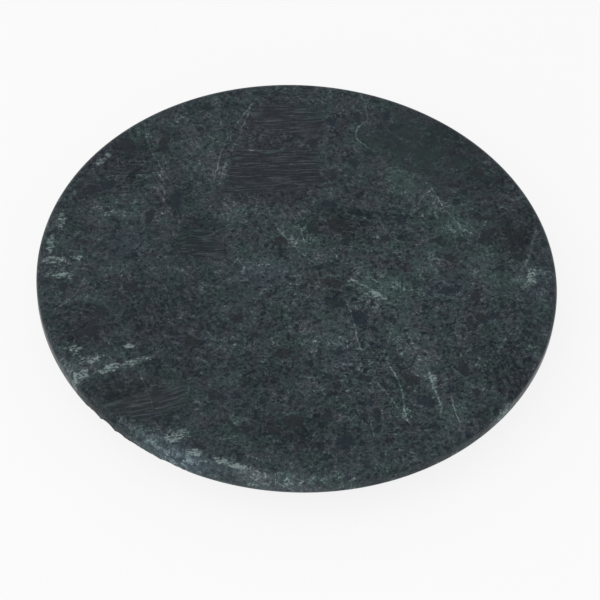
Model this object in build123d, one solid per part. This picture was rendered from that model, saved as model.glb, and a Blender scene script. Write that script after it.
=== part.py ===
from build123d import *

import math
import os

# A round marble board for rolling dough, on three turned feet.
# Millimetres. +Z is up, and the origin is on the ground under the middle of the board.

# The board's slab
BOARD_DIAMETER = 254.0
BOARD_THICKNESS = 12.0
TOP_EDGE_ROUNDING = 4.0
UNDER_EDGE_ROUNDING = 4.0
UNDER_ARRIS_SLOPE = 45.0

# The chips in the slab's lower edge. Each is the hollow that a ball of this curve leaves
# when it bites this deep into the rounded edge, at this bearing from +X seen from above.
CHIP_TILT = 40.0
LONG_CHIP_BEARING = 223.6
LONG_CHIP_CURVE = 26.0
LONG_CHIP_BITE = 0.6
DEEP_CHIP_BEARING = 228.4
DEEP_CHIP_CURVE = 11.0
DEEP_CHIP_BITE = 1.4
SMALL_CHIP_BEARING = 232.0
SMALL_CHIP_CURVE = 7.0
SMALL_CHIP_BITE = 0.9
RIGHT_NICK_BEARING = 327.2
RIGHT_NICK_CURVE = 3.0
RIGHT_NICK_BITE = 0.3

# One turned foot: a round stub with a bevelled base, flaring out to a collar at the top
FOOT_HEIGHT = 18.0
FOOT_BASE_BEVEL = 1.2
FOOT_STUB_RADIUS = 12.0
FOOT_FLARE_HEIGHT = 3.5
FOOT_COLLAR_RADIUS = 15.0
FOOT_COLLAR_HEIGHT = 4.0

# Where the feet stand: their middles this far in from the rim, the first one at the rear
FOOT_NAMES = ("rear", "front_left", "front_right")
FOOT_INSET = 41.0
REAR_FOOT_BEARING = 90.0

# The adhesive bed between a foot and the slab, with its squeezed-out rim
ADHESIVE_THICKNESS = 0.8
ADHESIVE_SQUEEZE_OUT = 0.8

# The soft pad under a foot, a disc cut from sheet
PAD_RADIUS = 9.5
PAD_THICKNESS = 1.2

# Heights of the faces that meet, from the ground up
foot_bottom = PAD_THICKNESS
foot_top = foot_bottom + FOOT_HEIGHT
slab_bottom = foot_top + ADHESIVE_THICKNESS
slab_top = slab_bottom + BOARD_THICKNESS

# The direction, in radius and height, in which the rim's wall runs into its upper rounding
UPWARDS = (0, 1)


def turned(outline):
    """The solid that a closed outline, in radius and height, sweeps about +Z."""
    return revolve(Plane.XZ * make_face(outline), axis=Axis.Z)


def edge_ball(bearing, curve, bite):
    """The ball that leaves one chip in the slab's rounded lower edge."""
    reach = UNDER_EDGE_ROUNDING + curve - bite
    across = reach * math.cos(math.radians(CHIP_TILT))
    down = reach * math.sin(math.radians(CHIP_TILT))
    rounding_radius = BOARD_DIAMETER / 2 - UNDER_EDGE_ROUNDING
    rounding_height = slab_bottom + UNDER_EDGE_ROUNDING
    place = Pos(rounding_radius + across, 0, rounding_height - down)
    return Rot(0, 0, bearing) * place * Sphere(curve)


def make_slab():
    """The slab with its rounded rim, and the chips bitten out of its lower edge."""
    rim_radius = BOARD_DIAMETER / 2
    slope_across = math.cos(math.radians(UNDER_ARRIS_SLOPE))
    slope_up = math.sin(math.radians(UNDER_ARRIS_SLOPE))
    slope_in = UNDER_EDGE_ROUNDING * (1 - slope_up)
    slope_rise = UNDER_EDGE_ROUNDING * (1 - slope_across)
    slope_run = slope_rise * slope_across / slope_up
    under_middle = (0, slab_bottom)
    arris = (rim_radius - slope_in - slope_run, slab_bottom)
    slope_end = (rim_radius - slope_in, slab_bottom + slope_rise)
    wall_start = (rim_radius, slab_bottom + UNDER_EDGE_ROUNDING)
    wall_end = (rim_radius, slab_top - TOP_EDGE_ROUNDING)
    top_edge = (rim_radius - TOP_EDGE_ROUNDING, slab_top)
    top_middle = (0, slab_top)
    slab = turned(
        [
            Line(under_middle, arris),
            Line(arris, slope_end),
            TangentArc(slope_end, wall_start, tangent=(slope_across, slope_up)),
            Line(wall_start, wall_end),
            TangentArc(wall_end, top_edge, tangent=UPWARDS),
            Line(top_edge, top_middle),
            Line(top_middle, under_middle),
        ]
    )
    slab -= edge_ball(LONG_CHIP_BEARING, LONG_CHIP_CURVE, LONG_CHIP_BITE)
    slab -= edge_ball(DEEP_CHIP_BEARING, DEEP_CHIP_CURVE, DEEP_CHIP_BITE)
    slab -= edge_ball(SMALL_CHIP_BEARING, SMALL_CHIP_CURVE, SMALL_CHIP_BITE)
    slab -= edge_ball(RIGHT_NICK_BEARING, RIGHT_NICK_CURVE, RIGHT_NICK_BITE)
    return slab


def make_foot():
    """One foot as it leaves the lathe, from the middle of its base round to its flat seat."""
    flare_end_height = foot_top - FOOT_COLLAR_HEIGHT
    flare_start_height = flare_end_height - FOOT_FLARE_HEIGHT
    base_middle = (0, foot_bottom)
    base_edge = (FOOT_STUB_RADIUS - FOOT_BASE_BEVEL, foot_bottom)
    stub_start = (FOOT_STUB_RADIUS, foot_bottom + FOOT_BASE_BEVEL)
    flare_start = (FOOT_STUB_RADIUS, flare_start_height)
    flare_end = (FOOT_COLLAR_RADIUS, flare_end_height)
    seat_edge = (FOOT_COLLAR_RADIUS, foot_top)
    seat_middle = (0, foot_top)
    profile = Polyline(
        base_middle,
        base_edge,
        stub_start,
        flare_start,
        flare_end,
        seat_edge,
        seat_middle,
        close=True,
    )
    return turned([profile])


def make_adhesive():
    """The bed on the foot's flat seat, whose squeezed-out rim slopes up to the slab."""
    low_middle = (0, foot_top)
    low_edge = (FOOT_COLLAR_RADIUS, foot_top)
    high_edge = (FOOT_COLLAR_RADIUS + ADHESIVE_SQUEEZE_OUT, slab_bottom)
    high_middle = (0, slab_bottom)
    return turned([Polyline(low_middle, low_edge, high_edge, high_middle, close=True)])


def make_pad():
    """The soft pad between the foot's base and the ground."""
    pad_middle = PAD_THICKNESS / 2
    return Pos(0, 0, pad_middle) * Cylinder(PAD_RADIUS, PAD_THICKNESS)


os.makedirs("parts", exist_ok=True)
export_step(make_slab(), "parts/board_slab.step")

foot = make_foot()
adhesive = make_adhesive()
pad = make_pad()
foot_circle_radius = BOARD_DIAMETER / 2 - FOOT_INSET
for number, name in enumerate(FOOT_NAMES):
    bearing = REAR_FOOT_BEARING + 360 * number / len(FOOT_NAMES)
    place = Rot(0, 0, bearing) * Pos(foot_circle_radius, 0, 0)
    export_step(place * foot, f"parts/foot_{name}.step")
    export_step(place * adhesive, f"parts/adhesive_{name}.step")
    export_step(place * pad, f"parts/pad_{name}.step")
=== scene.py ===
import math
import random
from collections import namedtuple

import bpy
from mathutils import Matrix, Vector


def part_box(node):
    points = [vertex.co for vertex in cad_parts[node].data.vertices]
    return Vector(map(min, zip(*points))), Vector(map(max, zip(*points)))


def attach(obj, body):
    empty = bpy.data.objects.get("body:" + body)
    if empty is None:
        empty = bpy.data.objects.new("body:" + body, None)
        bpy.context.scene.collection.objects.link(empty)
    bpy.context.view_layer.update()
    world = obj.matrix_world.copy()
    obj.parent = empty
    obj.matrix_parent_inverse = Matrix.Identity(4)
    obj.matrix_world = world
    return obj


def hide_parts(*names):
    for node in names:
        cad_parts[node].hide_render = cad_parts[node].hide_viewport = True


# A round green marble board for rolling dough, on three turned feet of the same stone.
# Lengths in this file are millimetres, turned into Blender's metres where a piece is made.

MM = 0.001

# The camera stands in front of the board, looks down at it, and is turned a little about its view
CAMERA_PLACE = (2.04, -757.67, 922.907)
CAMERA_DOWN_ANGLE = 50.39
CAMERA_ROLL = 3.486
CAMERA_LENS = 144.0
CAMERA_SENSOR = 36.0
CAMERA_NEAR_LIMIT = 50.0
CAMERA_FAR_LIMIT = 100000.0

# The white floor and the pale room. The camera sees the floor mostly as a glow of its own, and
# sees the room brighter than the room lights the board.
WHITE = (1, 1, 1, 1)
FLOOR_SIZE = 12000.0
FLOOR_PAINT = (0.86, 0.86, 0.86, 1)
FLOOR_GLOW = 0.85
ROOM_GLOW = 1.0
ROOM_LIGHT = 0.5

# The soft lamp at the front left, with its power in watts
LAMP_PLACE = (-700.0, -1000.0, 1600.0)
LAMP_SIZE = 2400.0
LAMP_POWER = 25

# The slab's rim: the rounding of its top edge, and of its lower edge above a sloped arris
RIM_STEPS = 720
TOP_ROUNDING = 4.0
TOP_ROUNDING_STEPS = 9
UNDER_ROUNDING = 4.0
UNDER_ROUNDING_STEPS = 5
UNDER_ARRIS_WIDTH = 2.343
UNDER_ARRIS_TANGENT = 1.657
FLAT_MARGIN = 0.4
SKIN = 0.02
SMOOTH_ANGLE = 14.0

# A face is level when its normal points this nearly straight up or down
LEVEL_ENOUGH = 0.999

# The flakes missing from the lower edge: bearing from +X, tilt below level, spin, half sizes
# along and across the rim and into the stone, and bite
FLAKE_FINENESS = 6
FLAKE_GRAIN = 1.6
FLAKE_GRAIN_LAYERS = 2
FLAKE_ROUGHNESS = 0.4
FLAKES = [
    ("long_flake", 223.9, 18, 6, (9.4, 10, 3.2), 0.85),
    ("deep_flake", 228.5, 36, 0, (6.4, 8.7, 3), 1.6),
    ("small_flake", 232.4, 34, 0, (4.6, 7, 2.5), 1.05),
    ("right_nick", 327.5, 24, 0, (1.3, 3, 1), 0.55),
]

# The worn edge from the chips to the front, made of many small flakes
WORN_FINENESS = 5
WORN_COUNT = 12
WORN_START = 234.0
WORN_FADE = 245.0
WORN_END = 251.0
WORN_FADED = 253.0
WORN_TILTS = (28, 40)
WORN_SPINS = (-25, 25)
WORN_LENGTHS = (5.0, 7.5)
WORN_THICKNESS_SHARE = 0.32
WORN_BITES = (0.5, 0.75)
WORN_SEED = 5

# One foot and what joins it, in radius and height above the ground
FOOT_STEPS = 128
FOOT_BOTTOM = 1.2
FOOT_TOP = 19.2
SLAB_BOTTOM = 20.0
FOOT_BASE_RADIUS = 10.8
FOOT_BASE_BEVEL = 1.2
FOOT_STUB_RADIUS = 12.0
FOOT_FLARE_START = 11.7
FOOT_FLARE_END = 15.2
FOOT_COLLAR_RADIUS = 14.98
FOOT_EDGE_WEAR = 0.35
FOOT_WEAR_STEPS = 3
FOOT_WORN_EDGES = 20.0
ADHESIVE_STEPS = 256
ADHESIVE_RINGS = [(14.9, 19.2), (15.12, 19.3), (15.32, 19.5), (15.5, 19.75), (15.7, 20.0)]
BEAD_MARGIN = 0.05
BEAD_LUMP_LENGTH = 3.5
BEAD_LUMP_HEIGHT = 0.5
BEAD_LUMP_LEVEL = 0.75
PAD_RINGS = [(9.25, 0.0), (9.4, 0.08), (9.48, 0.25), (9.48, 0.95), (9.4, 1.12), (9.25, 1.2)]
SIDES = ("rear", "front_left", "front_right")


def metres(place):
    """A place given in millimetres, as Blender takes it."""
    return tuple(value * MM for value in place)


def select_only(piece):
    """Leaves one object selected and active."""
    bpy.ops.object.select_all(action="DESELECT")
    piece.select_set(True)
    bpy.context.view_layer.objects.active = piece


def take_new(name):
    """The primitive that was just added, named, with its place in its mesh."""
    piece = bpy.context.object
    piece.name = name
    piece.data.name = name
    select_only(piece)
    bpy.ops.object.transform_apply(location=True, rotation=True, scale=True)
    return piece


def select_edges(piece, is_wanted):
    """In edit mode, selects the edges both of whose ends satisfy is_wanted."""
    select_only(piece)
    bpy.ops.object.mode_set(mode="EDIT")
    bpy.ops.mesh.select_mode(type="EDGE")
    bpy.ops.mesh.select_all(action="DESELECT")
    bpy.ops.object.mode_set(mode="OBJECT")
    vertices = piece.data.vertices
    for edge in piece.data.edges:
        edge.select = all(is_wanted(vertices[end].co) for end in edge.vertices)
    bpy.ops.object.mode_set(mode="EDIT")


def select_faces(piece, is_wanted):
    """In edit mode, selects the faces that satisfy is_wanted."""
    select_only(piece)
    bpy.ops.object.mode_set(mode="EDIT")
    bpy.ops.mesh.select_mode(type="FACE")
    bpy.ops.mesh.select_all(action="DESELECT")
    bpy.ops.object.mode_set(mode="OBJECT")
    for face in piece.data.polygons:
        face.select = is_wanted(face)
    bpy.ops.object.mode_set(mode="EDIT")


def make_slab():
    """The slab: a disc whose rim is rounded above, rounded and sloped below, with flat faces."""
    low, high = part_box("board_slab")
    radius = (high.x - low.x) / 2 - SKIN * MM
    bpy.ops.mesh.primitive_cylinder_add(
        vertices=RIM_STEPS,
        radius=radius,
        depth=high.z - low.z,
        location=(0, 0, (high.z + low.z) / 2),
    )
    slab = take_new("marble_slab")
    near = SKIN * MM

    select_edges(slab, lambda place: place.z > high.z - near)
    bpy.ops.mesh.bevel(offset=TOP_ROUNDING * MM, segments=TOP_ROUNDING_STEPS)
    bpy.ops.object.mode_set(mode="OBJECT")

    select_edges(slab, lambda place: place.z < low.z + near)
    bpy.ops.mesh.bevel(offset=UNDER_ARRIS_WIDTH * MM, segments=1)
    bpy.ops.object.mode_set(mode="OBJECT")

    slope_top = low.z + UNDER_ARRIS_WIDTH * MM
    select_edges(slab, lambda place: abs(place.z - slope_top) < near)
    bpy.ops.mesh.bevel(offset=UNDER_ARRIS_TANGENT * MM, segments=UNDER_ROUNDING_STEPS)
    bpy.ops.object.mode_set(mode="OBJECT")

    select_faces(slab, lambda face: abs(face.normal.z) > LEVEL_ENOUGH)
    bpy.ops.mesh.inset(thickness=FLAT_MARGIN * MM)
    bpy.ops.object.mode_set(mode="OBJECT")
    return slab


def apply_modifier(piece, kind, **settings):
    """Adds a modifier, sets it and applies it."""
    select_only(piece)
    modifier = piece.modifiers.new(kind.lower(), kind)
    for field, value in settings.items():
        setattr(modifier, field, value)
    bpy.ops.object.modifier_apply(modifier=modifier.name)


def make_flake(name, bearing, tilt, spin, half_sizes, bite, fineness):
    """The rough lens that one chip leaves when it comes off the slab's lower edge.

    It bites this deep into the rounded edge at this bearing from +X, facing tilt degrees
    below level, with half sizes along the rim, across it and into the stone.
    """
    low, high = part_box("board_slab")
    bpy.ops.mesh.primitive_ico_sphere_add(subdivisions=fineness, radius=1.0)
    flake = take_new(name)
    along, across, thick = half_sizes
    shape = Matrix.Diagonal((across * MM, along * MM, thick * MM, 1))
    turn = Matrix.Rotation(math.radians(spin), 4, "Z")
    face_out = Matrix.Rotation(math.radians(90 + tilt), 4, "Y")
    rim_middle = Vector((high.x - UNDER_ROUNDING * MM, 0, low.z + UNDER_ROUNDING * MM))
    outwards = Vector((math.cos(math.radians(tilt)), 0, -math.sin(math.radians(tilt))))
    place = rim_middle + outwards * (UNDER_ROUNDING - bite + thick) * MM
    round_rim = Matrix.Rotation(math.radians(bearing), 4, "Z")
    flake.data.transform(round_rim @ Matrix.Translation(place) @ face_out @ turn @ shape)
    grain = bpy.data.textures.new(name, "CLOUDS")
    grain.noise_scale = FLAKE_GRAIN * MM
    grain.noise_depth = FLAKE_GRAIN_LAYERS
    apply_modifier(
        flake,
        "DISPLACE",
        texture=grain,
        texture_coords="GLOBAL",
        strength=FLAKE_ROUGHNESS * MM,
    )
    return flake


def worn_flakes():
    """The small flakes of the worn edge, with a seeded chance in their places and sizes."""
    chance = random.Random(WORN_SEED)
    flakes = []
    for number in range(WORN_COUNT):
        share = (number + chance.random()) / WORN_COUNT
        bearing = WORN_START + (WORN_END - WORN_START) * share
        tilt = chance.uniform(*WORN_TILTS)
        spin = chance.uniform(*WORN_SPINS)
        length = chance.uniform(*WORN_LENGTHS)
        half_sizes = (length, length, length * WORN_THICKNESS_SHARE)
        fade = min(1.0, (WORN_FADED - bearing) / (WORN_FADED - WORN_FADE))
        bite = chance.uniform(*WORN_BITES) * fade
        flakes.append((f"worn_{number}", bearing, tilt, spin, half_sizes, bite))
    return flakes


def chip_edge(slab, scar_stone):
    """Takes every flake out of the slab's lower edge, and leaves scars of this material."""
    flakes = [(*flake, FLAKE_FINENESS) for flake in FLAKES]
    flakes += [(*flake, WORN_FINENESS) for flake in worn_flakes()]
    for flake_shape in flakes:
        flake = make_flake(*flake_shape)
        dress(flake, scar_stone)
        apply_modifier(
            slab,
            "BOOLEAN",
            object=flake,
            operation="DIFFERENCE",
            solver="EXACT",
            material_mode="TRANSFER",
        )
        bpy.data.objects.remove(flake)


def finish_smooth(piece):
    """Smooth shading that keeps the edges sharper than the given angle."""
    select_only(piece)
    bpy.ops.object.shade_smooth_by_angle(angle=math.radians(SMOOTH_ANGLE))


def turned_piece(name, middle, rings, steps):
    """A piece turned about an upright axis, from rings of radius and height in millimetres."""
    first_radius, first_height = rings[0]
    bpy.ops.mesh.primitive_circle_add(
        vertices=steps,
        radius=first_radius * MM,
        fill_type="NGON",
        location=(middle.x, middle.y, first_height * MM),
    )
    piece = take_new(name)
    bpy.ops.object.mode_set(mode="EDIT")
    bpy.ops.mesh.select_all(action="SELECT")
    for (old_radius, old_height), (radius, height) in zip(rings, rings[1:]):
        rise = Vector((0, 0, (height - old_height) * MM))
        centre = Vector((middle.x, middle.y, height * MM))
        bpy.ops.mesh.extrude_region_move(TRANSFORM_OT_translate={"value": rise})
        share = radius / old_radius
        bpy.ops.transform.resize(value=(share, share, 1), center_override=centre)
    bpy.ops.mesh.select_all(action="SELECT")
    bpy.ops.mesh.normals_make_consistent(inside=False)
    bpy.ops.object.mode_set(mode="OBJECT")
    return piece


def middle_of(node):
    """The middle of a CAD node's box."""
    low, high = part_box(node)
    return (low + high) / 2


def make_foot():
    """The rear foot: bevelled base, straight stub, flare and collar, with worn edges."""
    rings = [
        (FOOT_BASE_RADIUS, FOOT_BOTTOM),
        (FOOT_STUB_RADIUS, FOOT_BOTTOM + FOOT_BASE_BEVEL),
        (FOOT_STUB_RADIUS, FOOT_FLARE_START),
        (FOOT_COLLAR_RADIUS, FOOT_FLARE_END),
        (FOOT_COLLAR_RADIUS, FOOT_TOP),
    ]
    foot = turned_piece("foot", middle_of("foot_rear"), rings, FOOT_STEPS)
    apply_modifier(
        foot,
        "BEVEL",
        width=FOOT_EDGE_WEAR * MM,
        segments=FOOT_WEAR_STEPS,
        limit_method="ANGLE",
        angle_limit=math.radians(FOOT_WORN_EDGES),
    )
    finish_smooth(foot)
    return foot


def roughen_bead(bed):
    """Swells and thins the squeezed-out bead round its edge, as resin wiped by a finger."""
    bead = bed.vertex_groups.new(name="bead")
    for vertex in bed.data.vertices:
        height = vertex.co.z / MM
        if FOOT_TOP + BEAD_MARGIN < height < SLAB_BOTTOM - BEAD_MARGIN:
            bead.add([vertex.index], 1.0, "REPLACE")
    lumps = bpy.data.textures.new("bead_lumps", "CLOUDS")
    lumps.noise_scale = BEAD_LUMP_LENGTH * MM
    lumps.noise_depth = 1
    apply_modifier(
        bed,
        "DISPLACE",
        texture=lumps,
        texture_coords="GLOBAL",
        vertex_group="bead",
        strength=BEAD_LUMP_HEIGHT * MM,
        mid_level=BEAD_LUMP_LEVEL,
    )


def make_adhesive():
    """The cured bed of adhesive over the rear foot, with its squeezed-out bead."""
    bed = turned_piece("adhesive", middle_of("adhesive_rear"), ADHESIVE_RINGS, ADHESIVE_STEPS)
    roughen_bead(bed)
    finish_smooth(bed)
    return bed


def make_pad():
    """The soft pad under the rear foot, with softly crushed edges."""
    pad = turned_piece("pad", middle_of("pad_rear"), PAD_RINGS, FOOT_STEPS)
    finish_smooth(pad)
    return pad


def set_at_each_foot(piece, kind, material):
    """Gives the piece its finish and slot, and copies it round to the other two feet."""
    dress(piece, material)
    pieces = [piece]
    for number in range(1, len(SIDES)):
        twin = piece.copy()
        twin.data = piece.data.copy()
        bpy.context.scene.collection.objects.link(twin)
        turn = math.radians(360 * number / len(SIDES))
        twin.data.transform(Matrix.Rotation(turn, 4, "Z"))
        pieces.append(twin)
    for side, placed in zip(SIDES, pieces):
        placed.name = f"{kind}_{side}_visual"
        placed.data.name = placed.name
        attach(placed, "root")
        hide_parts(f"{kind}_{side}")


def add_node(tree, kind, inputs=None, **settings):
    """Adds a node, sets its fields, and fills or joins its inputs by name or number."""
    node = tree.nodes.new(kind)
    for field, value in settings.items():
        setattr(node, field, value)
    for socket, value in (inputs or {}).items():
        if isinstance(value, bpy.types.NodeSocket):
            tree.links.new(value, node.inputs[socket])
        else:
            node.inputs[socket].default_value = value
    return node


def maths(tree, operation, *values):
    """One sum of numbers or sockets."""
    inputs = dict(enumerate(values))
    return add_node(tree, "ShaderNodeMath", inputs, operation=operation).outputs[0]


def varied(tree, base, *parts):
    """A value that starts from its base and goes up by each part times its own share."""
    for part, share in parts:
        base = maths(tree, "MULTIPLY_ADD", part, share, base)
    return base


def vectors(tree, operation, *values):
    """One sum of vectors."""
    inputs = dict(enumerate(values))
    return add_node(tree, "ShaderNodeVectorMath", inputs, operation=operation).outputs[0]


def dot(tree, first, second):
    """How far the first vector reaches along the second one."""
    inputs = {0: first, 1: second}
    return add_node(tree, "ShaderNodeVectorMath", inputs, operation="DOT_PRODUCT").outputs["Value"]


def step(tree, value, start, end, low=0.0, high=1.0):
    """A value that passes smoothly from low to high as the given one goes from start to end."""
    inputs = {0: value, 1: start, 2: end, 3: low, 4: high}
    node = add_node(tree, "ShaderNodeMapRange", inputs, interpolation_type="SMOOTHSTEP")
    return node.outputs[0]


def mix_colours(tree, share, first, second, blend="MIX"):
    """The first colour, with this share of the second one. The sockets are the colour ones."""
    inputs = {0: share, 6: first, 7: second}
    node = add_node(tree, "ShaderNodeMix", inputs, data_type="RGBA", blend_type=blend)
    return node.outputs[2]


def noise(tree, places, size, detail=3.0, roughness=0.55, output=0):
    """Cloudy noise with features of this size in millimetres."""
    inputs = {"Vector": places, "Scale": 1 / size, "Detail": detail, "Roughness": roughness}
    return add_node(tree, "ShaderNodeTexNoise", inputs).outputs[output]


def paint(red, green, blue):
    """A colour given as the screen shows it, 0 to 255, as the shader takes it.

    The numbers inside are those of the screen's standard colour curve.
    """

    def linear(value):
        share = value / 255
        if share <= 0.04045:
            return share / 12.92
        return ((share + 0.055) / 1.055) ** 2.4

    return (linear(red), linear(green), linear(blue), 1.0)


def stone_places(tree):
    """Places in the stone in millimetres, from the object's own coordinates."""
    own = add_node(tree, "ShaderNodeTexCoord").outputs["Object"]
    inputs = {"Vector": own, "Scale": (1 / MM, 1 / MM, 1 / MM)}
    return add_node(tree, "ShaderNodeMapping", inputs).outputs[0]


# The middle of the colours that noise gives
HALFWAY = (0.5, 0.5, 0.5)


def swirl(tree, places, size, *reaches):
    """The places pushed about by noise of this size, once for each reach in millimetres."""
    push = noise(tree, places, size, detail=1.0, output=1)
    centred = vectors(tree, "SUBTRACT", push, HALFWAY)
    return [
        vectors(tree, "MULTIPLY_ADD", centred, (reach, reach, reach), places) for reach in reaches
    ]


# The stone's colours from its darkest grains to its whitest flecks, as even light shows them
STONE_TONES = [
    (0.00, paint(22, 29, 34)),
    (0.22, paint(35, 42, 45)),
    (0.42, paint(50, 58, 61)),
    (0.62, paint(66, 77, 79)),
    (0.82, paint(84, 96, 97)),
    (1.00, paint(128, 142, 141)),
]
GREEN_TINT = (0.90, 1.025, 0.975, 1)
VIOLET_TINT = (1.09, 0.96, 1.05, 1)
BROWN_TINT = (1.14, 0.965, 0.98, 1)
BLUE_TINT = (0.95, 0.99, 1.10, 1)

# Broad patches of the slab's figure seen from above: the middle's x and y, the half sizes, the
# turn, and how much paler. The other patches below are given in the same way.
BROAD_PATCHES = {
    "middle band": [
        (-8, 32, 16, 9, -30, 0.10), (6, 14, 16, 8, -45, 0.10), (40, -10, 22, 13, -30, 0.13),
        (56, -42, 26, 11, -60, 0.12),
    ],
    "right band": [
        (52, 58, 26, 12, -45, 0.10), (78, 34, 22, 11, -45, 0.14), (90, 6, 22, 10, -75, 0.12),
    ],
    "right of middle": [(64, 8, 18, 12, -45, 0.10)],
    "right rim": [(112, 0, 16, 20, 0, 0.08)],
    "rear left cloud": [(-54, 72, 12, 26, 15, 0.05)],
    "rear left seam": [(-41, 66, 6, 46, 15, 0.06)],
    "rear left": [(-34, 30, 12, 12, 0, 0.10)],
    "left of middle": [(-18, -2, 30, 14, 0, 0.09)],
    "front middle": [(16, -40, 20, 22, 0, 0.09)],
    "left": [(-84, 28, 16, 12, 0, 0.08)],
    "front left streak": [(-88, -66, 26, 7, 15, 0.08)],
    "front right": [(76, -86, 22, 14, -60, 0.06)],
    "big striped patch": [(-10, 92, 22, 20, 15, -0.07), (-18, 58, 30, 24, 0, -0.10)],
    "small striped patch": [(-50, 18, 18, 20, -15, -0.10)],
    "dark speckle": [(20, 30, 20, 16, 15, -0.12)],
    "right dark patches": [(105, 30, 22, 24, 0, -0.13)],
    "right rear rim": [(92, 70, 26, 30, 45, -0.07)],
    "rear right": [(60, 88, 34, 24, -30, -0.06)],
    "dark wedge": [(-72, -86, 32, 16, -15, -0.17)],
    "left front dark": [(-104, -46, 20, 22, 15, -0.11)],
    "left middle dark": [(-66, -30, 34, 30, 0, -0.06)],
    "front left": [(-54, -62, 26, 14, 0, -0.10)],
    "front dark": [(-12, -66, 20, 16, 15, -0.08), (2, -100, 26, 18, 0, -0.12)],
    "right front rim": [(104, -56, 20, 30, 30, -0.10)],
    "rear right rim": [(76, 94, 22, 14, -45, -0.10)],
    "left rear rim": [(-94, 66, 26, 26, 45, -0.08)],
}

# Thin pale seams that run through the slab
SEAMS = {
    "rear left": [
        (-71, 46, 3.2, 26, 0, 0.12), (-89, 47, 3.4, 22, 0, 0.10), (-44, 62, 3.4, 30, 15, 0.10),
        (-56, 78, 6, 20, 15, 0.10),
    ],
    "left": [(-94, -27, 20, 2.6, 15, 0.10), (-38, -14, 3, 18, -60, 0.08)],
    "front left": [(-37, -58, 2.4, 12, -30, 0.12)],
    "right": [(113, 18, 2.2, 22, -15, 0.16)],
    "front right": [(66, -64, 2.4, 18, 15, 0.12)],
}

# Pale patches on the rim: partly pale stone, and partly a painted highlight and painted reflection
# on the rim at the front and front right
RIM_PALE_AND_HIGHLIGHT_PATCHES = {
    "front left": [
        (-60, -110, 18, 7, -30, 0.72), (-44, -118, 16, 7, -15, 0.75), (-106, -69, 8, 14, 30, 0.46),
    ],
    "front": [(-20, -123, 18, 6, -15, 0.6), (2, -126, 20, 6, 0, 0.60), (24, -123, 16, 6, 15, 0.36)],
    "front right": [(101.0, -79.5, 3.5, 12, -38, 1.6)],
}

# Where the stone's grain is stronger or calmer than at the left
GRAIN_PATCHES = {
    "right": [(44, -34, 110, 92, -45, 0.4)],
    "middle": [(30, 28, 40, 26, 15, 0.25)],
    "rear right": [(62, 86, 46, 36, -30, -0.8), (58, 80, 24, 20, -30, -0.2)],
    "front left": [(-68, -84, 34, 18, -15, -0.3)],
}

# Where the stone shows streaks, and how strong they are
LEVEL_STREAKS = {
    "rear left": [(-88, 48, 28, 26, 0, 0.5)],
    "left": [(-84, 22, 30, 16, 0, 0.35)],
    "front right": [(36, -56, 20, 16, 0, 0.5), (48, -96, 26, 16, 0, 0.4)],
}
STEEP_STREAKS = {
    "rear left": [(-54, 76, 20, 38, 15, 0.4), (-71, 46, 7, 34, 0, 0.5)],
    "left": [(-64, -34, 34, 34, 0, 0.3)],
    "front right": [(104, -52, 20, 30, 30, 0.6)],
    "right": [(112, 6, 14, 34, 0, 0.5)],
}
BAND_WISPS = {
    "middle": [(2, 16, 20, 9, -45, 1.0)],
    "right": [(38, -11, 24, 10, -30, 1.0), (80, 26, 24, 10, -45, 0.6), (113, 2, 8, 16, 0, 0.9)],
    "front right": [(60, -46, 26, 9, -60, 0.6)],
}

# Where the stone's hue turns to violet, or with a minus sign to green, to brown and to blue
VIOLET_PATCHES = {
    "rear left": [(-106, 66, 20, 34, 30, 0.30), (-68, 44, 10, 22, 0, 0.27)],
    "rear": [
        (-15, 94, 26, 26, 0, 0.4), (-18, 62, 36, 30, 0, 0.4), (15, 98, 8, 14, 0, 0.24),
        (28, 50, 9, 18, 15, 0.21),
    ],
    "left": [(-84, -20, 14, 18, 0, 0.24), (-60, -38, 20, 12, 15, 0.27)],
    "front left": [(-98, -46, 14, 12, 0, 0.21), (-42, -52, 14, 14, 0, 0.21)],
    "rear right": [
        (98, 52, 14, 16, 0, 0.18), (50, 62, 12, 12, 0, -0.24), (56, 84, 30, 24, -30, -0.18),
    ],
    "right": [
        (86, -16, 10, 18, 0, 0.30), (74, 34, 18, 18, 0, -0.27), (44, -8, 26, 12, 0, -0.21),
        (100, 0, 14, 18, 0, -0.24),
    ],
    "middle": [(2, 20, 13, 14, 0, -0.21)],
}
BROWN_PATCHES = {
    "rear": [(-15, 94, 26, 24, 0, 0.4), (-18, 62, 36, 28, 0, 0.4)],
    "middle": [(20, 28, 12, 10, 0, 0.7), (10, -8, 16, 12, 0, 0.6)],
    "right": [(73, 11, 7, 7, 0, 0.7), (105, 26, 12, 14, 0, 0.7)],
    "front left": [(-70, -86, 26, 18, 0, 0.9)],
}
BLUE_PATCHES = {
    "middle": [(-14, -5, 18, 12, 0, 0.8)],
    "left": [(-84, 10, 14, 12, 0, 0.9)],
    "front": [(22, -50, 8, 14, 0, 0.9)],
    "right": [(118, 0, 8, 14, 0, 0.8), (72, -6, 12, 9, 0, 0.8)],
    # The front left patch lies on the rim: partly the stone's blue, and partly the painted bluish
    # sheen of the rim's painted highlight
    "front left": [(-46, -118, 34, 10, -30, 1.1)],
}


def in_a_group(tree, name, places, build):
    """The value that build works out from the places, in a node group of its own."""
    group = bpy.data.node_groups.new(name, "ShaderNodeTree")
    group.interface.new_socket("Places", in_out="INPUT", socket_type="NodeSocketVector")
    group.interface.new_socket("Value", in_out="OUTPUT", socket_type="NodeSocketFloat")
    value = build(group, add_node(group, "NodeGroupInput").outputs[0])
    add_node(group, "NodeGroupOutput", {0: value})
    return add_node(tree, "ShaderNodeGroup", {0: places}, node_tree=group).outputs[0]


# How far a patch reaches up and down through the stone: past both faces of the slab
THROUGH = 1000.0


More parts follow.
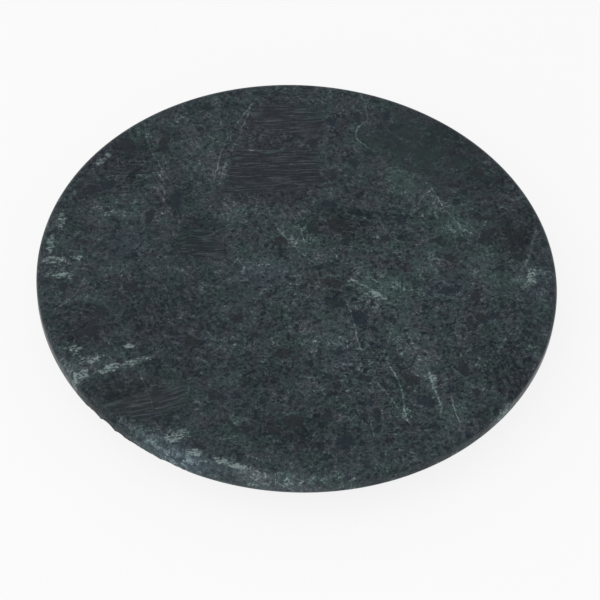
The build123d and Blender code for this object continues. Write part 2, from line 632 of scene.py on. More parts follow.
def soft_oval(tree, places, x, y, half_width, half_depth, turn):
    """1 in the middle of an oval seen from above, falling evenly to 0 at its edge."""
    ball = add_node(tree, "ShaderNodeTexGradient", {0: places}, gradient_type="SPHERICAL")
    local = ball.texture_mapping
    local.vector_type = "TEXTURE"
    local.translation = (x, y, 0)
    local.rotation = (0, 0, math.radians(turn))
    local.scale = (half_width, half_depth, THROUGH)
    return ball.outputs["Fac"]


def rows_of(lists):
    """The rows of all these lists, in their order."""
    return [row for rows in lists.values() for row in rows]


def patchy(tree, name, places, lists):
    """A value that is nought between the patches in these lists and rises by theirs in them."""

    def build(group, inner_places):
        total = 0.0
        for *oval, rise in rows_of(lists):
            share = soft_oval(group, inner_places, *oval)
            total = maths(group, "MULTIPLY_ADD", share, rise, total)
        return total

    return in_a_group(tree, name, places, build)


def crystals(tree, places, size):
    """A mosaic of crystals of this size: distance from a crystal's middle, and three chances."""
    inputs = {"Vector": places, "Scale": 1 / size, "Randomness": 1.0}
    cells = add_node(tree, "ShaderNodeTexVoronoi", inputs, feature="F1")
    chances = add_node(tree, "ShaderNodeSeparateColor", {0: cells.outputs["Color"]})
    return cells.outputs["Distance"], chances.outputs


# Where a new point of a curve starts, before it gets its own place
HALFWAY_ALONG = (0.5, 0.5)


def set_curve(node, points):
    """Bends a curve node through these points."""
    curve = node.mapping.curves[0]
    while len(curve.points) < len(points):
        curve.points.new(*HALFWAY_ALONG)
    for point, place in zip(curve.points, points):
        point.location = place
    node.mapping.extend = "HORIZONTAL"
    node.mapping.update()


# A vein's curve is drawn in a strip this wide, its core is this share of its half width, and
# its strength goes along it through these places and shares
VEIN_SPAN = 60.0
VEIN_CORE = 0.3
VEIN_FADE = [(0, 0), (0.08, 1.0), (0.5, 0.8), (0.9, 1.0), (1, 0)]


def vein(tree, places, points, width, strength, total):
    """Adds to the total a thin vein through these points, fading out at both ends."""
    first, last = Vector(points[0]), Vector(points[-1])
    length = (last - first).length
    forward = (last - first) / length
    sideways = Vector((-forward.y, forward.x))
    start = first - sideways * VEIN_SPAN / 2
    from_start = vectors(tree, "SUBTRACT", places, (*start, 0))
    along = dot(tree, from_start, (*forward / length, 0))
    across = dot(tree, from_start, (*sideways / VEIN_SPAN, 0))
    bends = []
    for point in points:
        step_on = Vector(point) - start
        bends.append((step_on.dot(forward) / length, step_on.dot(sideways) / VEIN_SPAN))
    middle = add_node(tree, "ShaderNodeFloatCurve", {"Value": along})
    set_curve(middle, bends)
    apart = maths(tree, "ABSOLUTE", maths(tree, "SUBTRACT", across, middle.outputs[0]))
    line = step(tree, apart, width / VEIN_SPAN, width * VEIN_CORE / VEIN_SPAN)
    fade = add_node(tree, "ShaderNodeFloatCurve", {"Value": along})
    set_curve(fade, [(place, share * strength) for place, share in VEIN_FADE])
    return maths(tree, "MULTIPLY_ADD", line, fade.outputs[0], total)


def inside(tree, places, corners, softness):
    """1 inside the corners, given anticlockwise seen from above, and 0 outside them."""
    share = None
    for first, last in zip(corners, corners[1:] + corners[:1]):
        length = math.dist(first, last)
        inward = ((first[1] - last[1]) / length, (last[0] - first[0]) / length, 0)
        from_first = vectors(tree, "SUBTRACT", places, (*first, 0))
        depth = dot(tree, from_first, inward)
        share = depth if share is None else maths(tree, "MINIMUM", share, depth)
    return step(tree, share, -softness, softness)


def streaks(tree, places, turn, length, spacing):
    """Streaky noise, drawn out along this angle from +X."""
    inputs = {
        "Vector": places,
        "Rotation": (0, 0, math.radians(turn)),
        "Scale": (length, spacing, spacing),
    }
    drawn = add_node(tree, "ShaderNodeMapping", inputs, vector_type="TEXTURE").outputs[0]
    return noise(tree, drawn, 1.0, detail=2.5, roughness=0.62)


# Striped patches seen from above: corners anticlockwise, whether slanted, and how dark
STRIPED_PATCHES = [
    ("large, front", [(-40, 45), (1, 51), (8, 60), (7, 79), (-35, 77)], False, -0.15),
    ("large, rear", [(-31, 82), (-2, 88), (8, 86), (8, 104), (-6, 111), (-26, 108)], False, -0.12),
    ("small", [(-57, 2), (-38, 4), (-36, 8), (-46, 22), (-58, 20)], False, -0.17),
    ("wedge", [(-87, -91), (-66, -99), (-48, -88), (-49, -75), (-58, -77)], True, -0.12),
]

# Veins seen from above: points, half width and strength
VEINS = [
    ("hook, rear", [(27, 121), (29, 116), (30.5, 108), (31, 102)], 0.7, 0.16),
    ("hook", [(31, 102), (27, 97.5), (25.6, 93), (26, 89), (29, 85.5), (34, 81.5)], 0.8, 0.36),
    ("hook, tail", [(34, 81.5), (40, 74), (46, 67), (58, 57)], 1.4, 0.08),
    ("small hook", [(64.5, 59), (67, 53), (70.5, 46)], 0.6, 0.32),
    ("small hook, arm", [(65, 58), (61, 52), (58, 46)], 0.5, 0.2),
    ("rear right, straight", [(75, 63), (88, 77), (91.5, 84)], 0.4, 0.12),
    ("right band, bright", [(72, 43), (77, 36), (82, 28)], 0.6, 0.16),
    ("right rim", [(117, 38), (115.5, 28), (113, 16), (109, 6)], 0.7, 0.16),
    ("pair, left", [(-27, 113), (-32, 102), (-37, 91), (-42, 76), (-44, 60), (-46, 48)], 0.55, 0.23),
    ("pair, right", [(-29, 109), (-34, 86), (-38, 72), (-41, 57), (-43, 47)], 0.5, 0.20),
    ("striped patch, top", [(-40, 75.5), (-28, 76.2), (-15, 77)], 0.5, 0.2),
    ("left long", [(-83, 92), (-80, 78), (-77, 70), (-72.5, 61), (-70, 52), (-69, 28)], 0.6, 0.16),
    ("left bright", [(-77.5, 71), (-75, 66.5), (-72, 61)], 0.5, 0.16),
    ("front right, first", [(44, -54), (50, -65), (53, -75), (54, -85), (58, -93)], 0.65, 0.32),
    ("front right, second", [(65, -59), (68, -71), (70.6, -78), (70, -86)], 0.75, 0.30),
    ("front right, third", [(75.5, -73), (77, -80), (79.5, -88)], 0.6, 0.30),
    ("front right, fourth", [(39.5, -66.5), (45, -73.5), (50.5, -82)], 0.6, 0.28),
    ("front right, fifth", [(24, -18), (28, -31), (31, -44), (34, -53)], 0.5, 0.24),
    ("front right, sixth", [(37, -84), (38.5, -92), (40.5, -100)], 0.5, 0.2),
    ("front right, seventh", [(46.5, -97), (47.5, -102), (49, -107)], 0.4, 0.16),
    ("front right, leaf", [(79, -59), (83, -63), (86.5, -69)], 0.8, 0.16),
    ("left hair", [(-102.5, -14), (-104, -20), (-107, -27), (-117, -37)], 0.5, 0.2),
    ("left arch", [(-117, -37), (-108, -30), (-98, -27), (-90, -30)], 1.4, 0.08),
    ("wedge, top", [(-86, -91), (-76, -86), (-66, -80.5), (-58, -77)], 0.5, 0.14),
    ("wedge, crossing", [(-72, -69), (-69, -75), (-65.5, -83), (-63, -92)], 0.4, 0.16),
    ("front leaf", [(-39, -53), (-43, -58), (-47, -64)], 0.7, 0.12),
    ("middle bright, first", [(-13, 28), (-7, 19), (-1, 12), (8, 4)], 0.7, 0.2),
    ("middle bright, second", [(0, 27), (1.5, 20), (3, 14)], 0.6, 0.18),
    ("middle bright, third", [(9, 10), (13, 6), (17, 1)], 0.5, 0.14),
    ("middle bright, fourth", [(24, -5), (31, -8), (38, -12.5), (46, -20)], 0.9, 0.2),
]

# Crisp clasts that stand out from above, by hue and place: x, y, half sizes and turn
BLACK_CLASTS = {
    "right edge": [(92, 28, 4, 5, 0), (106, 29, 6, 7, 0), (109, 16, 5, 4, 0)],
    "right band": [(67.5, 23, 4, 3, 15), (80, 24, 4, 3, -15), (87, -44, 3, 3, 0)],
    "middle": [(6, 26, 5, 4, -30), (23, 21, 3, 4, 0), (42, 22, 3, 4, 0)],
    "rear": [(25.5, 105, 2.5, 4, 0), (35, 116, 5, 2, 0), (34, 79, 5, 2.5, 0)],
    "rear middle": [(25, 72, 3.5, 4, 0), (15, 62, 3, 5, 0), (4, 84, 5, 5, 0)],
    "front right": [(19, -21, 7, 4, 0), (18, -66, 3, 3.5, 0), (17.5, -90, 4, 4, 0)],
    "front": [(81, -57, 4, 6, 0), (35, -65.5, 5, 2.5, 0), (41, -86, 2.5, 5, 0)],
    "left": [(-93, -34, 5, 5, 0), (-79, -19, 5, 5, 0), (-104.5, 42, 7, 5, 15)],
    "left rear": [(-89.5, 73, 7, 7, 0), (-74.5, 28, 3.5, 7, 0), (-52, 104, 4, 4, 0)],
    "front left": [(-34.5, -81, 5, 4, 0), (-21, -100, 7, 4, 0), (-96, -47, 6, 4, 15)],
}
NAVY_CLASTS = {
    "right": [(74, -9, 7, 3.5, 15), (50, 36, 5, 5, 0), (77, 49, 3, 2.5, 0)],
    "rear": [(14, 43, 5, 4, 0), (40.5, 106, 3, 5, 0), (13, 99, 4, 5, 0)],
    "front": [(31, -29, 5, 7, 0), (64, -77, 7, 4.5, 0), (27, -104, 6, 6, 30)],
    "left": [(-63, 39, 5, 8, 0), (-56, -17, 4, 3, 0), (-97.5, 47, 5, 5, 0)],
}
BROWN_CLASTS = {
    "middle": [(18, 29.5, 8, 6, 0), (17, -8, 7, 4, 0), (-9.5, 16, 5, 4, 0)],
    "right": [(74, 12, 4, 4, 0), (87, -11, 4, 5, 0), (89, -24, 5, 4, 0)],
    "rear right": [(92.5, 39.5, 4.5, 2, 0), (87.5, 69.5, 5, 4, 0)],
    "front": [(56, -65, 6, 4.5, 0), (2.5, -94, 6, 5, 0), (-4.5, -54, 6, 4, 0)],
    "left": [(-72, 76, 4, 8, 0), (-112.5, -21, 4, 4, 0), (-48, -50, 5, 5, 0)],
    "front left": [(-27, -34, 4, 5, 0), (-6, -99, 5, 4, 0)],
}
WHITE_FLECKS = {
    "left rim": [(-119.5, -5, 8, 4, 0), (-114, -14, 10, 2.6, 0), (-107, -2, 5, 2, 0)],
    "left rear rim": [(-102.5, 62.5, 4, 3, 45), (-99.5, 68, 2.6, 3.4, 0)],
    "left rear": [(-118, 21, 2.8, 8, 0), (-121, 5, 2.4, 9, 0), (-94, 28, 6, 2, 30)],
    "left front": [(-103, -59, 5, 4, -15), (-94.5, -64, 8, 3.4, 15)],
    "left front, streaks": [(-85, -69, 10, 3.2, 30), (-73, -64, 11, 3, 30)],
    "left front, rim": [(-98, -75, 7, 4.4, 30), (-77.5, -55, 4, 2.2, 0)],
    "front left rim": [(-50, -105.5, 8, 4, 30), (-42, -114, 6, 3, -15)],
    "front rim": [(-29.5, -118, 6, 2.6, -15), (-21, -120.5, 6, 2.4, 0)],
    "middle": [(39, -14, 6, 2.2, -30), (26, -6, 3, 2, 0), (-3, 17, 4, 2, -45)],
    "right": [(114, 3, 3, 7, 0), (67, -63, 3, 4, 0)],
}


def between(tree, share, first, second):
    """The first value, with this share of the second one."""
    gap = maths(tree, "SUBTRACT", second, first)
    return maths(tree, "MULTIPLY_ADD", gap, share, first)


# The grains: their sizes, how much they vary, what brings their mean to nought, and pale ones
FINE_GRAIN = 0.5
FINE_GRAIN_RISE = 0.18
MIDDLE_GRAIN = 1.05
MIDDLE_GRAIN_RISE = 0.16
GRAIN_BALANCE = -0.17
PALE_GRAIN_CHANCES = (0.86, 0.96)
PALE_GRAIN_RISE = 0.07


def grains(tree, places):
    """The stone's salt-and-pepper of fine grains, about nought, and chances for each grain."""
    _, fine = crystals(tree, places, FINE_GRAIN)
    _, middle = crystals(tree, places, MIDDLE_GRAIN)
    total = varied(tree, GRAIN_BALANCE, (fine[0], FINE_GRAIN_RISE), (middle[0], MIDDLE_GRAIN_RISE))
    fleck = step(tree, middle[1], *PALE_GRAIN_CHANCES, 0.0, PALE_GRAIN_RISE)
    return maths(tree, "ADD", total, fleck), middle


# The levels at which two parts of its noise draw a web's lines, and a third part fades them
WEB_LEVELS = (0.5, 0.48)
WEB_GAPS = (0.40, 0.60)


def web(tree, places, size, half_width):
    """Thin wispy lines that wander through the stone, about nought to one."""
    wander = noise(tree, places, size, detail=2.0, roughness=0.6, output=1)
    parts = add_node(tree, "ShaderNodeSeparateColor", {0: wander}).outputs
    first, second = [
        maths(tree, "ABSOLUTE", maths(tree, "SUBTRACT", part, level))
        for level, part in zip(WEB_LEVELS, parts)
    ]
    line = step(tree, maths(tree, "MINIMUM", first, second), half_width, 0.0)
    mask = step(tree, parts[2], *WEB_GAPS)
    return maths(tree, "MULTIPLY", line, mask)


# How blurred a clast's chance is at its limit, and how much less dark it may be
CLAST_BLUR = 0.02
CLAST_VARIATION = 0.6


def clasts(tree, places, value, calm, size, crowd, darkness):
    """Sets dark angular bits of stone of this size in the value, where the crowd allows.

    Gives the new value, the bits' share of the surface and chances for each bit.
    """
    _, chance = crystals(tree, places, size)
    share = step(tree, maths(tree, "SUBTRACT", crowd, chance[0]), -CLAST_BLUR, CLAST_BLUR)
    depth = maths(tree, "MULTIPLY_ADD", chance[1], -CLAST_VARIATION, 1.0)
    dark = maths(tree, "MULTIPLY_ADD", depth, darkness, calm)
    return between(tree, share, value, dark), share, chance


def crisp_bits(tree, name, places, ragged, lists, level, softness):
    """The share covered by the bits in these lists, whose ragged edges lie at this level."""

    def build(group, inner_places):
        total = 0.0
        for oval in rows_of(lists):
            share = soft_oval(group, inner_places, *oval)
            total = maths(group, "MAXIMUM", share, total)
        return total

    cover = maths(tree, "ADD", in_a_group(tree, name, places, build), ragged)
    return step(tree, cover, level - softness, level + softness)


def all_veins(tree, places):
    """The veins together, each with its own strength."""

    def build(group, inner_places):
        total = 0.0
        for _, points, width, strength in VEINS:
            total = vein(group, inner_places, points, width, strength, total)
        return total

    return in_a_group(tree, "veins", places, build)


def stone_shade(tree, value):
    """The stone's colour for a value from its darkest grains at 0 to its whitest flecks at 1."""
    ramp = add_node(tree, "ShaderNodeValToRGB", {0: value})
    stops = ramp.color_ramp.elements
    for number, (place, colour) in enumerate(STONE_TONES):
        stop = stops[number] if number < len(stops) else stops.new(place)
        stop.position = place
        stop.color = colour
    return ramp.outputs[0]


# How the places are pushed about before a pattern is drawn: the size of the push, and its reach
DRIFT_SIZE = 12.0
PATCH_DRIFT = 6.0
STREAK_DRIFT = 2.4
RIPPLE = (3.0, 1.7)
WAVER = (1.2, 1.0)

Places = namedtuple("Places", "still drifted eased rippled wavered")


def slab_places(tree):
    """The places in the slab, still and pushed about in four ways."""
    still = stone_places(tree)
    drifted, eased = swirl(tree, still, DRIFT_SIZE, PATCH_DRIFT, STREAK_DRIFT)
    (rippled,) = swirl(tree, still, *RIPPLE)
    (wavered,) = swirl(tree, still, *WAVER)
    return Places(still, drifted, eased, rippled, wavered)


# The tone at large: how strong its patches are, and the size and strength of its clouds
BROAD_STRENGTH = 1.35
CLOUD_SIZE = 11.0
CLOUD_STRENGTH = 0.24
GRAIN_CONTRAST = 0.95


def slab_tone(tree, at):
    """How pale the stone is at large, how strong its grain is, and three chances for its hue."""
    broad = patchy(tree, "broad", at.drifted, BROAD_PATCHES)
    coarseness = patchy(tree, "coarseness", at.drifted, GRAIN_PATCHES)
    contrast = maths(tree, "ADD", coarseness, GRAIN_CONTRAST)
    clouds = noise(tree, at.drifted, CLOUD_SIZE, detail=2.0, roughness=0.6, output=1)
    hues = add_node(tree, "ShaderNodeSeparateColor", {0: clouds}).outputs
    cloud = maths(tree, "MULTIPLY_ADD", hues[2], CLOUD_STRENGTH, -CLOUD_STRENGTH / 2)
    seams = patchy(tree, "seams", at.rippled, SEAMS)
    tone = maths(tree, "MULTIPLY_ADD", broad, BROAD_STRENGTH, cloud)
    return maths(tree, "ADD", tone, seams), contrast, hues


# How much of the grain shows on a clast
CALM_SHARE = 0.3

# The clasts: how crowded the small ones are, less so in paler stone, the large ones' share of
# that, both sizes, and how dark they are
CROWD = 0.24
CROWD_BY_TONE = -0.6
LARGE_SHARE = 0.30
SMALL_CLAST = 1.3
LARGE_CLAST = 3.1
CLAST_DARKNESS = -0.24

# How strong the webs of fine and of long pale lines are, and the stone's middling tone
FIBRE_STRENGTH = 0.17
HAIR_STRENGTH = 0.31
BASE_TONE = 0.425

Stone = namedtuple("Stone", "value grain calm grain_chance clast_share clast_chance")


def slab_stone(tree, at, tone, contrast):
    """The stone with its grains, clasts and pale webs, before its streaks and veins."""
    grain, grain_chance = grains(tree, at.wavered)
    grain = maths(tree, "MULTIPLY", grain, contrast)
    calm = maths(tree, "MULTIPLY", grain, CALM_SHARE)
    crowd = maths(tree, "MULTIPLY_ADD", tone, CROWD_BY_TONE, CROWD)
    few = maths(tree, "MULTIPLY", crowd, LARGE_SHARE)
    darkness = maths(tree, "MULTIPLY", contrast, CLAST_DARKNESS)
    value, share, chance = clasts(tree, at.wavered, grain, calm, LARGE_CLAST, few, darkness)
    value, _, _ = clasts(tree, at.wavered, value, calm, SMALL_CLAST, crowd, darkness)
    fibres = maths(tree, "MULTIPLY", web(tree, at.rippled, size=2.2, half_width=0.07), contrast)
    value = varied(tree, value, (fibres, FIBRE_STRENGTH))
    hairs = web(tree, at.rippled, size=7.0, half_width=0.022)
    value = maths(tree, "ADD", value, maths(tree, "MULTIPLY", hairs, HAIR_STRENGTH))
    value = maths(tree, "ADD", value, maths(tree, "ADD", tone, BASE_TONE))
    return Stone(value, grain, calm, grain_chance, share, chance)


# Streaky lines of each kind: their angle from +X, length and spacing
LEVEL_LINES = (6.0, 12.0, 1.0)
STEEP_LINES = (-64.0, 10.0, 1.2)
SLANTED_LINES = (18.0, 10.0, 1.0)
WISP_LINES = (-45.0, 5.0, 1.0)
SPLINTER_LINES = (14.0, 3.4, 0.9)

# Between which levels of its noise a pattern rises, and from what to what
STREAK_RISE = (0.38, 0.62, -0.26, 0.26)
WISP_RISE = (0.54, 0.72, 0.0, 0.22)
VEIN_RISE = (0.34, 0.52, 0.7, 1.1)
SPLINTER_RISE = (0.38, 0.60, 0.06, 0.52)


def add_streaks(tree, at, value, level):
    """The value with the level and steep streaks of the stone and the wisps in its bands."""
    steep = streaks(tree, at.eased, *STEEP_LINES)
    for name, lines, patches in (("level", level, LEVEL_STREAKS), ("steep", steep, STEEP_STREAKS)):
        lines = step(tree, lines, *STREAK_RISE)
        share = patchy(tree, name, at.drifted, patches)
        value = maths(tree, "MULTIPLY_ADD", lines, share, value)
    wisps = step(tree, streaks(tree, at.rippled, *WISP_LINES), *WISP_RISE)
    wispy = patchy(tree, "wisps", at.drifted, BAND_WISPS)
    return maths(tree, "MULTIPLY_ADD", wisps, wispy, value)


# The mottle that makes edges ragged and breaks the veins, and how far it moves an edge
MOTTLE_SIZE = 2.4
RAGGEDNESS = 1.4

# The standing clasts: their edges' level and softness, their grain and tone, and their strength
STANDING_EDGES = (0.32, 0.05)
STANDING_GRAIN = 1.3
STANDING_TONE = 0.27
STANDING_STRENGTH = 0.8


def add_standing_clasts(tree, at, value, calm, ragged):
    """The value with the clasts that stand out, and the shares of the navy and brown ones."""
    clast_value = maths(tree, "MULTIPLY_ADD", calm, STANDING_GRAIN, STANDING_TONE)
    black, navy, brown = [
        crisp_bits(tree, name, at.rippled, ragged, lists, *STANDING_EDGES)
        for name, lists in (
            ("black_clasts", BLACK_CLASTS),
            ("navy_clasts", NAVY_CLASTS),
            ("brown_clasts", BROWN_CLASTS),
        )
    ]
    standing = maths(tree, "MAXIMUM", black, maths(tree, "MAXIMUM", navy, brown))
    share = maths(tree, "MULTIPLY", standing, STANDING_STRENGTH)
    return between(tree, share, value, clast_value), navy, brown


# The striped patches: how soft their borders are, their grain and tone, and how stripes rise
STRIPED_SOFTNESS = 1.6
STRIPED_GRAIN = 0.5
STRIPED_TONE = 0.43
STRIPE_LEVELS = (0.42, 0.68)
STRIPE_PALENESS = 0.20


def add_stripes(tree, at, value, grain, level):
    """The value with the striped patches."""
    slanted = streaks(tree, at.eased, *SLANTED_LINES)
    ground = maths(tree, "MULTIPLY_ADD", grain, STRIPED_GRAIN, STRIPED_TONE)
    for _, corners, is_slanted, darkness in STRIPED_PATCHES:
        share = inside(tree, at.rippled, corners, STRIPED_SOFTNESS)
        lines = slanted if is_slanted else level
        stripes = step(tree, lines, *STRIPE_LEVELS, darkness, STRIPE_PALENESS)
        value = between(tree, share, value, maths(tree, "ADD", ground, stripes))
    return value


# The level and softness of the white flecks' edges
FLECK_EDGES = (0.30, 0.16)


def add_flecks(tree, at, value, ragged, mottle):
    """The value with the splintered white flecks and the rim's pale patches with their painted
    highlight, and the flecks' share.
    """
    white = crisp_bits(tree, "white_flecks", at.rippled, ragged, WHITE_FLECKS, *FLECK_EDGES)
    splinters = step(tree, streaks(tree, at.wavered, *SPLINTER_LINES), *SPLINTER_RISE)
    value = maths(tree, "MULTIPLY_ADD", white, splinters, value)
    # The rim's patches are partly pale stone and partly a painted highlight and painted reflection
    # on the rim
    rim_pale_and_painted_highlight = maths(tree, "MULTIPLY", patchy(tree, "rim_pale_and_painted_highlight", at.rippled, RIM_PALE_AND_HIGHLIGHT_PATCHES), mottle)
    return maths(tree, "ADD", value, rim_pale_and_painted_highlight), white


# How far its own chance turns a grain or a clast violet, the levels at which the stone passes
# to violet and a clast to blue, and how far the flecks lose their hue
GRAIN_VIOLET = 0.16
CLAST_VIOLET = 0.10
VIOLET_LEVELS = (0.40, 0.82)
BLUE_CHANCES = (0.35, 0.55)
FLECK_WHITENESS = 0.7


def slab_tint(tree, at, hues, stone, navy, brown, white):
    """The hue of the stone, as a colour that its shade is multiplied by."""
    violet = maths(tree, "ADD", patchy(tree, "violet", at.drifted, VIOLET_PATCHES), hues[0])
    own = (stone.grain_chance[2], GRAIN_VIOLET), (stone.clast_chance[2], CLAST_VIOLET)
    violet = step(tree, varied(tree, violet, *own), *VIOLET_LEVELS)
    tint = mix_colours(tree, violet, GREEN_TINT, VIOLET_TINT)
    rusty = maths(tree, "MAXIMUM", patchy(tree, "brown", at.drifted, BROWN_PATCHES), brown)
    tint = mix_colours(tree, rusty, tint, BROWN_TINT)
    turned_blue = step(tree, stone.clast_chance[2], *BLUE_CHANCES)
    cool = maths(tree, "MULTIPLY", stone.clast_share, turned_blue)
    cool = maths(tree, "MAXIMUM", cool, navy)
    cool = maths(tree, "MAXIMUM", cool, patchy(tree, "blue", at.drifted, BLUE_PATCHES))
    tint = mix_colours(tree, cool, tint, BLUE_TINT)
    return mix_colours(tree, maths(tree, "MULTIPLY", white, FLECK_WHITENESS), tint, WHITE)


def slab_figure():
    """The figure of the slab's green marble, as a node group that gives its colour."""
    tree = bpy.data.node_groups.new("slab_figure", "ShaderNodeTree")
    tree.interface.new_socket("Colour", in_out="OUTPUT", socket_type="NodeSocketColor")
    at = slab_places(tree)
    tone, contrast, hues = slab_tone(tree, at)
    stone = slab_stone(tree, at, tone, contrast)
    level = streaks(tree, at.eased, *LEVEL_LINES)
    value = add_streaks(tree, at, stone.value, level)
    mottle = noise(tree, at.still, MOTTLE_SIZE, detail=2.0, roughness=0.6)
    ragged = maths(tree, "MULTIPLY_ADD", mottle, RAGGEDNESS, -RAGGEDNESS / 2)
    value, navy, brown = add_standing_clasts(tree, at, value, stone.calm, ragged)
    value = add_stripes(tree, at, value, stone.grain, level)
    broken = step(tree, mottle, *VEIN_RISE)
    value = maths(tree, "MULTIPLY_ADD", all_veins(tree, at.rippled), broken, value)
    value, white = add_flecks(tree, at, value, ragged, mottle)
    shade = stone_shade(tree, value)
    tint = slab_tint(tree, at, hues, stone, navy, brown, white)
    colour = mix_colours(tree, 1.0, shade, tint, "MULTIPLY")
    add_node(tree, "NodeGroupOutput", {0: colour})
    return tree


def new_material(name):
    """An empty material, and the tree that its nodes go into."""
    material = bpy.data.materials.new(name)
    material.use_nodes = True
    tree = material.node_tree
    tree.nodes.clear()
    return material, tree


# How strongly a surface reflects at a glance, apart from its polish
POLISHED_SHINE = 0.05
DULL_SHINE = 0.2
RESIN_SHINE = 0.4


def finish_material(tree, colour, roughness, height, depth, shine):
    """Joins a colour, a roughness and a height in parts of the depth, in millimetres."""
    relief = {"Height": height, "Strength": 1.0, "Distance": depth * MM}
    bump = add_node(tree, "ShaderNodeBump", relief)
    inputs = {
        "Base Color": colour,
        "Roughness": roughness,
        "Specular IOR Level": shine,
        "Normal": bump.outputs[0],
    }
    shader = add_node(tree, "ShaderNodeBsdfPrincipled", inputs)
    add_node(tree, "ShaderNodeOutputMaterial", {0: shader.outputs[0]})


def height_above(tree, places, start, end):
    """0 below the first height in millimetres, 1 above the second one."""
    parts = add_node(tree, "ShaderNodeSeparateXYZ", {0: places}).outputs
    return step(tree, parts[2], start, end)


# How rough each finish is, and what is added where a pattern of it is strongest
POLISHED = 0.17
POLISH_SMEARS = 0.14
POLISH_PITS = 0.05
HONED = 0.55
SATIN = 0.28
SATIN_RINGS = 0.15
SATIN_SMEARS = 0.15
RESIN = 0.38
RESIN_DUST = 0.3
RESIN_CLOUDS = 0.1
FOAM = 0.8
FOAM_WEAR = 0.15


def polished_marble(figure):
    """The slab's marble: polished above and on the rim, only honed underneath."""
    material, tree = new_material("green_marble")
    places = stone_places(tree)
    colour = add_node(tree, "ShaderNodeGroup", node_tree=figure).outputs[0]
    smears = noise(tree, places, size=30.0, detail=2.0)
    pits = noise(tree, places, size=1.1, detail=1.0)
    polish = varied(tree, POLISHED, (smears, POLISH_SMEARS), (pits, POLISH_PITS))
    upper = height_above(tree, places, start=SLAB_BOTTOM + 0.1, end=SLAB_BOTTOM + 0.4)
    roughness = between(tree, upper, HONED, polish)
    finish_material(tree, colour, roughness, pits, depth=0.012, shine=POLISHED_SHINE)
    return material


def broken_marble(figure):
    """The same marble where a flake has come off: bruised pale, matte and grainy."""
    material, tree = new_material("broken_marble")
    places = stone_places(tree)
    colour = add_node(tree, "ShaderNodeGroup", node_tree=figure).outputs[0]
    grain = noise(tree, places, size=0.8, detail=3.0, roughness=0.65)
    bruise = step(tree, grain, start=0.42, end=0.66, low=0.10, high=0.45)
    bruise_paint = paint(104, 112, 114)
    colour = mix_colours(tree, bruise, colour, bruise_paint)
    roughness = step(tree, grain, start=0.3, end=0.7, low=0.55, high=0.75)
    finish_material(tree, colour, roughness, grain, depth=0.30, shine=DULL_SHINE)
    return material


# The feet's tone, and how strong their clouds and hairs are
FOOT_TONE = 0.45
FOOT_CLOUDS = 0.5
FOOT_HAIRS = 0.3


def foot_colour(tree, places):
    """The colour of the feet's finer figure."""
    (rippled,) = swirl(tree, places, *RIPPLE)
    grain, _ = grains(tree, rippled)
    calm = maths(tree, "MULTIPLY", grain, CALM_SHARE)
    cloud = noise(tree, places, size=9.0, detail=2.0)
    tone = maths(tree, "MULTIPLY_ADD", cloud, FOOT_CLOUDS, -FOOT_CLOUDS / 2)
    value, _, _ = clasts(tree, rippled, grain, calm, size=2.4, crowd=0.25, darkness=-0.2)
    hairs = web(tree, rippled, size=6.0, half_width=0.03)
    value = varied(tree, value, (hairs, FOOT_HAIRS))
    value = maths(tree, "ADD", value, maths(tree, "ADD", tone, FOOT_TONE))
    violet = step(tree, cloud, start=0.42, end=0.62)
    tint = mix_colours(tree, violet, GREEN_TINT, VIOLET_TINT)
    return mix_colours(tree, 1.0, stone_shade(tree, value), tint, "MULTIPLY")


def foot_marble():
    """The feet's marble: finer figure, satin, with the rings that the lathe left."""
    material, tree = new_material("green_marble_feet")
    places = stone_places(tree)
    colour = foot_colour(tree, places)
    height = add_node(tree, "ShaderNodeSeparateXYZ", {0: places}).outputs[2]
    ring_places = add_node(tree, "ShaderNodeCombineXYZ", {2: height}).outputs[0]
    rings = noise(tree, ring_places, size=0.35, detail=1.5)
    smears = noise(tree, places, size=5.0, detail=2.0)
    roughness = varied(tree, SATIN, (rings, SATIN_RINGS), (smears, SATIN_SMEARS))
    finish_material(tree, colour, roughness, rings, depth=0.03, shine=DULL_SHINE)
    return material


def cured_resin():
    """The stone adhesive: pale grey-green, mottled, with stone dust stuck to it."""
    material, tree = new_material("stone_adhesive")
    places = stone_places(tree)
    dark, pale, dust_paint = paint(104, 112, 102), paint(140, 146, 132), paint(78, 86, 84)
    clouds = noise(tree, places, size=2.5, detail=3.0)
    share = step(tree, clouds, start=0.35, end=0.65)
    colour = mix_colours(tree, share, dark, pale)
    dust = step(tree, noise(tree, places, size=0.4, detail=1.0), start=0.60, end=0.70)
    colour = mix_colours(tree, dust, colour, dust_paint)
    roughness = varied(tree, RESIN, (dust, RESIN_DUST), (share, RESIN_CLOUDS))
    finish_material(tree, colour, roughness, clouds, depth=0.25, shine=RESIN_SHINE)
    return material


# How far some cells of the foam turn grey
GREY_CELLS = 0.3


def pad_foam():
    """The pads' dark rubber foam: open cells, and pale dust where it touches the worktop."""
    material, tree = new_material("soft_pad")
    places = stone_places(tree)
    hollow, wall = paint(44, 44, 46), paint(20, 20, 22)
    grey, dust_paint = paint(34, 34, 38), paint(96, 94, 90)
    distance, chances = crystals(tree, places, size=0.45)
    cells = step(tree, distance, start=0.15, end=0.6)
    colour = mix_colours(tree, cells, hollow, wall)
    colour = mix_colours(tree, maths(tree, "MULTIPLY", chances[0], GREY_CELLS), colour, grey)
    wear = noise(tree, places, size=4.0, detail=3.0)
    low = maths(tree, "SUBTRACT", 1.0, height_above(tree, places, start=0.0, end=0.5))
    dust = step(tree, wear, start=0.45, end=0.65, low=0.1, high=0.5)
    colour = mix_colours(tree, maths(tree, "MULTIPLY", dust, low), colour, dust_paint)
    roughness = varied(tree, FOAM, (wear, FOAM_WEAR))
    finish_material(tree, colour, roughness, distance, depth=0.12, shine=DULL_SHINE)
    return material


def dress(piece, material):
    """Gives a piece this material alone."""
    piece.data.materials.clear()
    piece.data.materials.append(material)


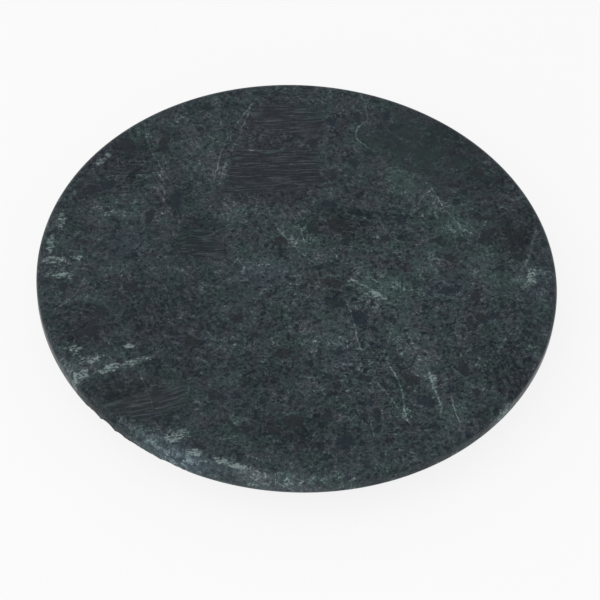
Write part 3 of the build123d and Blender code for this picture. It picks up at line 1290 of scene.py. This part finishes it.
def make_camera():
    """The camera that took the photograph's view."""
    data = bpy.data.cameras.new("camera")
    data.lens = CAMERA_LENS
    data.sensor_width = CAMERA_SENSOR
    data.clip_start = CAMERA_NEAR_LIMIT * MM
    data.clip_end = CAMERA_FAR_LIMIT * MM
    camera = bpy.data.objects.new("camera", data)
    bpy.context.scene.collection.objects.link(camera)
    camera.location = metres(CAMERA_PLACE)
    camera.rotation_mode = "XYZ"
    pitch = math.radians(90 - CAMERA_DOWN_ANGLE)
    roll = math.radians(CAMERA_ROLL)
    turn = Matrix.Rotation(pitch, 4, "X") @ Matrix.Rotation(roll, 4, "Z")
    camera.rotation_euler = turn.to_euler()
    bpy.context.scene.camera = camera


def seen_share(tree):
    """1 where the camera looks straight, by a reflection or through glass, and 0 elsewhere."""
    path = add_node(tree, "ShaderNodeLightPath").outputs
    seen = maths(tree, "ADD", path["Is Camera Ray"], path["Is Glossy Ray"])
    return maths(tree, "ADD", seen, path["Is Transmission Ray"])


def make_floor():
    """The plain white floor that the board stands on."""
    bpy.ops.mesh.primitive_plane_add(size=FLOOR_SIZE * MM)
    floor = take_new("floor")
    material, tree = new_material("white_floor")
    lit = add_node(tree, "ShaderNodeBsdfDiffuse", {"Color": FLOOR_PAINT})
    glow = add_node(tree, "ShaderNodeEmission", {"Color": WHITE, "Strength": 1.0})
    seen = maths(tree, "MULTIPLY", seen_share(tree), FLOOR_GLOW)
    both = add_node(tree, "ShaderNodeMixShader", {0: seen, 1: lit.outputs[0], 2: glow.outputs[0]})
    add_node(tree, "ShaderNodeOutputMaterial", {0: both.outputs[0]})
    dress(floor, material)


def make_lights():
    """A pale room and one large soft lamp from the front left."""
    world = bpy.data.worlds.new("pale_room")
    bpy.context.scene.world = world
    world.use_nodes = True
    tree = world.node_tree
    tree.nodes.clear()
    strength = between(tree, seen_share(tree), ROOM_LIGHT, ROOM_GLOW)
    room = add_node(tree, "ShaderNodeBackground", {"Color": WHITE, "Strength": strength})
    add_node(tree, "ShaderNodeOutputWorld", {0: room.outputs[0]})

    data = bpy.data.lights.new("soft_lamp", "AREA")
    data.shape = "SQUARE"
    data.size = LAMP_SIZE * MM
    data.energy = LAMP_POWER
    lamp = bpy.data.objects.new("soft_lamp", data)
    bpy.context.scene.collection.objects.link(lamp)
    lamp.location = metres(LAMP_PLACE)
    lamp.rotation_euler = (-lamp.location).to_track_quat("-Z", "Y").to_euler()


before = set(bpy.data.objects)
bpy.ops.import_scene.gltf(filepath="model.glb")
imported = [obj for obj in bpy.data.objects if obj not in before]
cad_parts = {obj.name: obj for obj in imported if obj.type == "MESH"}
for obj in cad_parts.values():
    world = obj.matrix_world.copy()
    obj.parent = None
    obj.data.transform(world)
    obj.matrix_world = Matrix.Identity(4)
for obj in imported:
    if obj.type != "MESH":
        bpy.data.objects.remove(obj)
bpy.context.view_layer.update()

bpy.context.scene.view_settings.view_transform = "Standard"
make_camera()
make_floor()
make_lights()

figure = slab_figure()
slab = make_slab()
dress(slab, polished_marble(figure))
chip_edge(slab, broken_marble(figure))
finish_smooth(slab)
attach(slab, "root")
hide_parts("board_slab")

set_at_each_foot(make_foot(), "foot", foot_marble())
set_at_each_foot(make_adhesive(), "adhesive", cured_resin())
set_at_each_foot(make_pad(), "pad", pad_foam())
